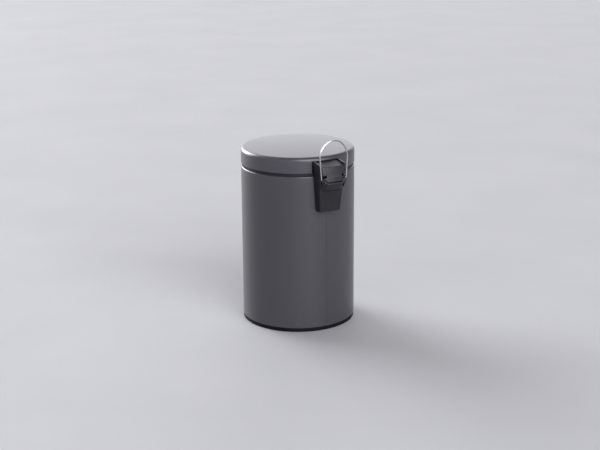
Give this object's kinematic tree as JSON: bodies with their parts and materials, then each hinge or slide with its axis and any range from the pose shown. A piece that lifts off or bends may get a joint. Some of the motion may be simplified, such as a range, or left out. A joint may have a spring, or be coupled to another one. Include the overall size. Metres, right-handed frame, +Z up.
{
  "type": "pedal trash can",
  "caption": "Round kitchen pedal bin: hinged lid lifted by a front foot pedal through a rod, lift-out bucket inside, and a wire carry bail on the rear hinge housing.",
  "frame": {"origin": "on the axis of the round shell, on the floor, at the middle of the rubber ring's underside", "axes": "+Z up along the shell's axis; +Y to the back, where the lid hinges; -Y to the front, where the pedal stands out; X along the hinge pin"},
  "size_m": [0.25, 0.349, 0.4332],
  "materials": {
    "shell_paint": "dark grey satin powder coat on sheet steel",
    "lid_paint": "dark grey satin powder coat on sheet steel",
    "black_plastic": "black moulded plastic, fine grain",
    "hinge_plastic": "black moulded plastic, fine grain",
    "bail_chrome": "bright plated wire",
    "zinc_steel": "zinc-plated steel",
    "rubber": "black rubber",
    "bucket_plastic": "grey moulded polypropylene",
    "grip_plastic": "black moulded sleeve",
    "tread_plastic": "black moulded foot pad with ribs"
  },
  "bodies": {
    "bin": {"outer_shell": "shell_paint", "base_ring": "black_plastic", "nonslip_ring": "rubber", "floor_pan": "zinc_steel", "rim_collar": "black_plastic", "hinge_housing": "hinge_plastic", "hinge_pin": "zinc_steel", "backing_plate": "zinc_steel", "housing_screws": "zinc_steel", "rod_guides": "zinc_steel", "pivot_bracket": "zinc_steel", "bracket_rivets": "zinc_steel", "pedal_pin": "zinc_steel", "pin_clip": "zinc_steel", "inner_bucket": "bucket_plastic"},
    "lid": {"lid_shell": "lid_paint", "lid_liner": "black_plastic", "lid_buffers": "rubber", "reinforcing_pad": "zinc_steel", "lid_screws": "zinc_steel", "hinge_block": "hinge_plastic"},
    "lift_rod": {"lift_rod": "zinc_steel", "rod_clips": "zinc_steel"},
    "pedal": {"pedal_lever": "zinc_steel", "pedal_tread": "tread_plastic", "tread_rivets": "zinc_steel"},
    "carry_bail": {"carry_bail": "bail_chrome"},
    "bucket_handle": {"bucket_handle": "zinc_steel", "bucket_grip": "grip_plastic"}
  },
  "joints": [
    {"name": "lid_hinge", "type": "hinge", "parent": "bin", "child": "lid", "pos_m": [0, 0.138, 0.364], "axis": [-1, 0, 0], "range_deg": [0, 65]},
    {"name": "pedal_pivot", "type": "hinge", "parent": "bin", "child": "pedal", "pos_m": [0, -0.035, 0.032], "axis": [1, 0, 0], "range_deg": [0, 11.39]},
    {"name": "rod_lift", "type": "slide", "parent": "bin", "child": "lift_rod", "axis": [0, 0, 1], "range_m": [0, 0.02934]},
    {"name": "bail_swing", "type": "hinge", "parent": "bin", "child": "carry_bail", "pos_m": [0, 0.1582, 0.3491], "axis": [-1, 0, 0], "range_deg": [0, 180]},
    {"name": "bucket_handle_swing", "type": "hinge", "parent": "bin", "child": "bucket_handle", "pos_m": [0, 0, 0.346], "axis": [-1, 0, 0], "range_deg": [0, 20]}
  ],
  "couplings": [
    {"joint": "pedal_pivot", "follows": "lid_hinge", "ratio": 0.1752},
    {"joint": "rod_lift", "follows": "lid_hinge", "m_per_rad": 0.025859}
  ]
}
